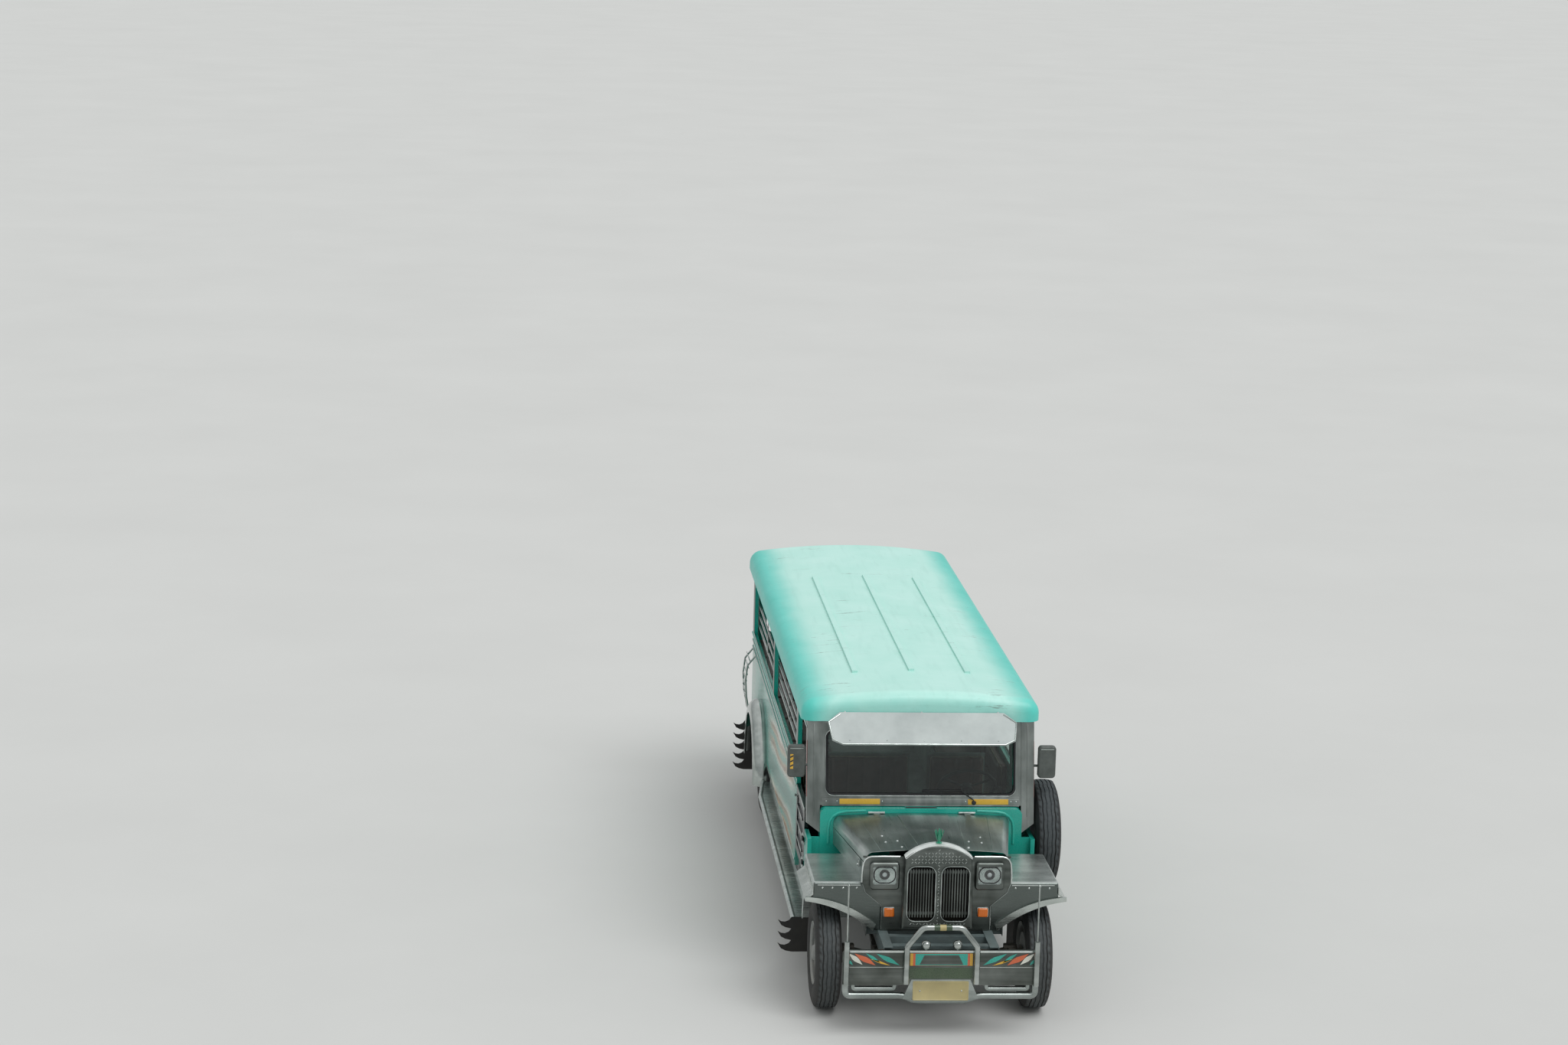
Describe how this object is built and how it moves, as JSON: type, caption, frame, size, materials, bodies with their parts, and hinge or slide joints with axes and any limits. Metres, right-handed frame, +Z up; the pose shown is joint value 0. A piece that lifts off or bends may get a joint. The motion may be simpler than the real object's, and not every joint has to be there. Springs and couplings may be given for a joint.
{
  "type": "jeepney",
  "caption": "Long shared passenger vehicle with an open-sided benched cabin, flat-topped wings, a round-topped grille shell and a tubed bumper.",
  "frame": {"origin": "on the ground under the middle of the overall length and width", "axes": "+X forward, +Y to the vehicle's left, +Z up"},
  "size_m": [7.016, 2.0599, 2.101],
  "materials": {
    "tyre": "matte black rubber",
    "rubber": "matte black rubber",
    "bright_steel": "polished stainless sheet",
    "plate_steel": "brushed stainless sheet",
    "turquoise_paint": "gloss enamel",
    "roof_paint": "worn enamel",
    "grey_paint": "satin paint",
    "chassis_paint": "dusty satin paint",
    "cast": "bare casting",
    "aluminium": "ribbed sheet",
    "vinyl": "stitched vinyl",
    "black_plastic": "satin",
    "clear_glass": "clear",
    "lamp_glass": "moulded lens",
    "yellow_plate": "plain plate"
  },
  "bodies": {
    "vehicle": {"bench_cushions": "vinyl", "bonnet_sides": "plate_steel", "bumper": "plate_steel", "bumper_tubes": "bright_steel", "chassis_frame": "chassis_paint", "cowl": "turquoise_paint", "dashboard": "grey_paint", "door_posts": "grey_paint", "engine_block": "cast", "exhaust_pipe": "chassis_paint", "floor_pan": "aluminium", "front_axle": "chassis_paint", "front_seat_cushions": "vinyl", "front_wings": "plate_steel", "fuel_tank": "chassis_paint", "grille_shell": "plate_steel", "grille_slats": "plate_steel", "handrails": "bright_steel", "headlamp_bezels": "bright_steel", "hinges": "plate_steel", "lamps": "lamp_glass", "leaf_springs": "chassis_paint", "mirrors": "grey_paint", "mud_flaps": "rubber", "nose_panel": "plate_steel", "number_plate": "yellow_plate", "propeller_shaft": "chassis_paint", "radiator": "cast", "rear_arch_covers": "bright_steel", "rear_axle": "chassis_paint", "rear_step": "aluminium", "rear_wall": "turquoise_paint", "roof": "roof_paint", "running_boards": "aluminium", "seat_frames": "chassis_paint", "side_panels": "turquoise_paint", "spare_rim": "grey_paint", "spare_tyre": "tyre", "steering_column": "chassis_paint", "visor_board": "plate_steel", "window_bars": "bright_steel", "window_frames": "turquoise_paint", "windscreen_frame": "plate_steel", "windscreen_glass": "clear_glass", "wing_lips": "bright_steel"},
    "wheel_front_left": {"tyre_front_left": "tyre", "rim_front_left": "grey_paint"},
    "wheel_front_right": {"tyre_front_right": "tyre", "rim_front_right": "grey_paint"},
    "wheel_rear_left": {"tyre_rear_left": "tyre", "rim_rear_left": "grey_paint"},
    "wheel_rear_right": {"tyre_rear_right": "tyre", "rim_rear_right": "grey_paint"},
    "steering_left": {"knuckle_left": "chassis_paint"},
    "steering_right": {"knuckle_right": "chassis_paint"},
    "track_rod": {"tie_rod": "chassis_paint"},
    "helm": {"steering_wheel": "black_plastic"},
    "bonnet_lid": {"bonnet": "plate_steel"},
    "door_right": {"half_door_right": "plate_steel"}
  },
  "joints": [
    {"name": "steer_left", "type": "hinge", "parent": "vehicle", "child": "steering_left", "pos_m": [2.782, 0.6, 0.389], "axis": [0, 0, 1], "range_deg": [-30, 30]},
    {"name": "steer_right", "type": "hinge", "parent": "vehicle", "child": "steering_right", "pos_m": [2.782, -0.6, 0.389], "axis": [0, 0, 1], "range_deg": [-30.2, 30.2]},
    {"name": "track_rod_slide", "type": "slide", "parent": "vehicle", "child": "track_rod", "axis": [0, -1, 0], "range_m": [-0.079, 0.079]},
    {"name": "steering_wheel_turn", "type": "hinge", "parent": "vehicle", "child": "helm", "pos_m": [1.772, 0.375, 1.33], "axis": [-0.766, 0, 0.6428], "range_deg": [-541, 541]},
    {"name": "front_left_spin", "type": "hinge", "parent": "steering_left", "child": "wheel_front_left", "pos_m": [2.782, 0.745, 0.389], "axis": [0, 1, 0], "continuous": true},
    {"name": "front_right_spin", "type": "hinge", "parent": "steering_right", "child": "wheel_front_right", "pos_m": [2.782, -0.745, 0.389], "axis": [0, 1, 0], "continuous": true},
    {"name": "rear_left_spin", "type": "hinge", "parent": "vehicle", "child": "wheel_rear_left", "pos_m": [-2.118, 0.745, 0.389], "axis": [0, 1, 0], "continuous": true},
    {"name": "rear_right_spin", "type": "hinge", "parent": "vehicle", "child": "wheel_rear_right", "pos_m": [-2.118, -0.745, 0.389], "axis": [0, 1, 0], "continuous": true},
    {"name": "bonnet_hinge", "type": "hinge", "parent": "vehicle", "child": "bonnet_lid", "pos_m": [2.152, 0, 1.24], "axis": [0, -1, 0], "range_deg": [0, 60]},
    {"name": "door_right_hinge", "type": "hinge", "parent": "vehicle", "child": "door_right", "pos_m": [1.928, -0.84, 0.89], "axis": [0, 0, 1], "range_deg": [0, 75]}
  ],
  "couplings": [
    {"joint": "steer_right", "follows": "steer_left", "ratio": 1},
    {"joint": "track_rod_slide", "follows": "steer_left", "m_per_rad": 0.15},
    {"joint": "steering_wheel_turn", "follows": "steer_left", "ratio": 18}
  ]
}
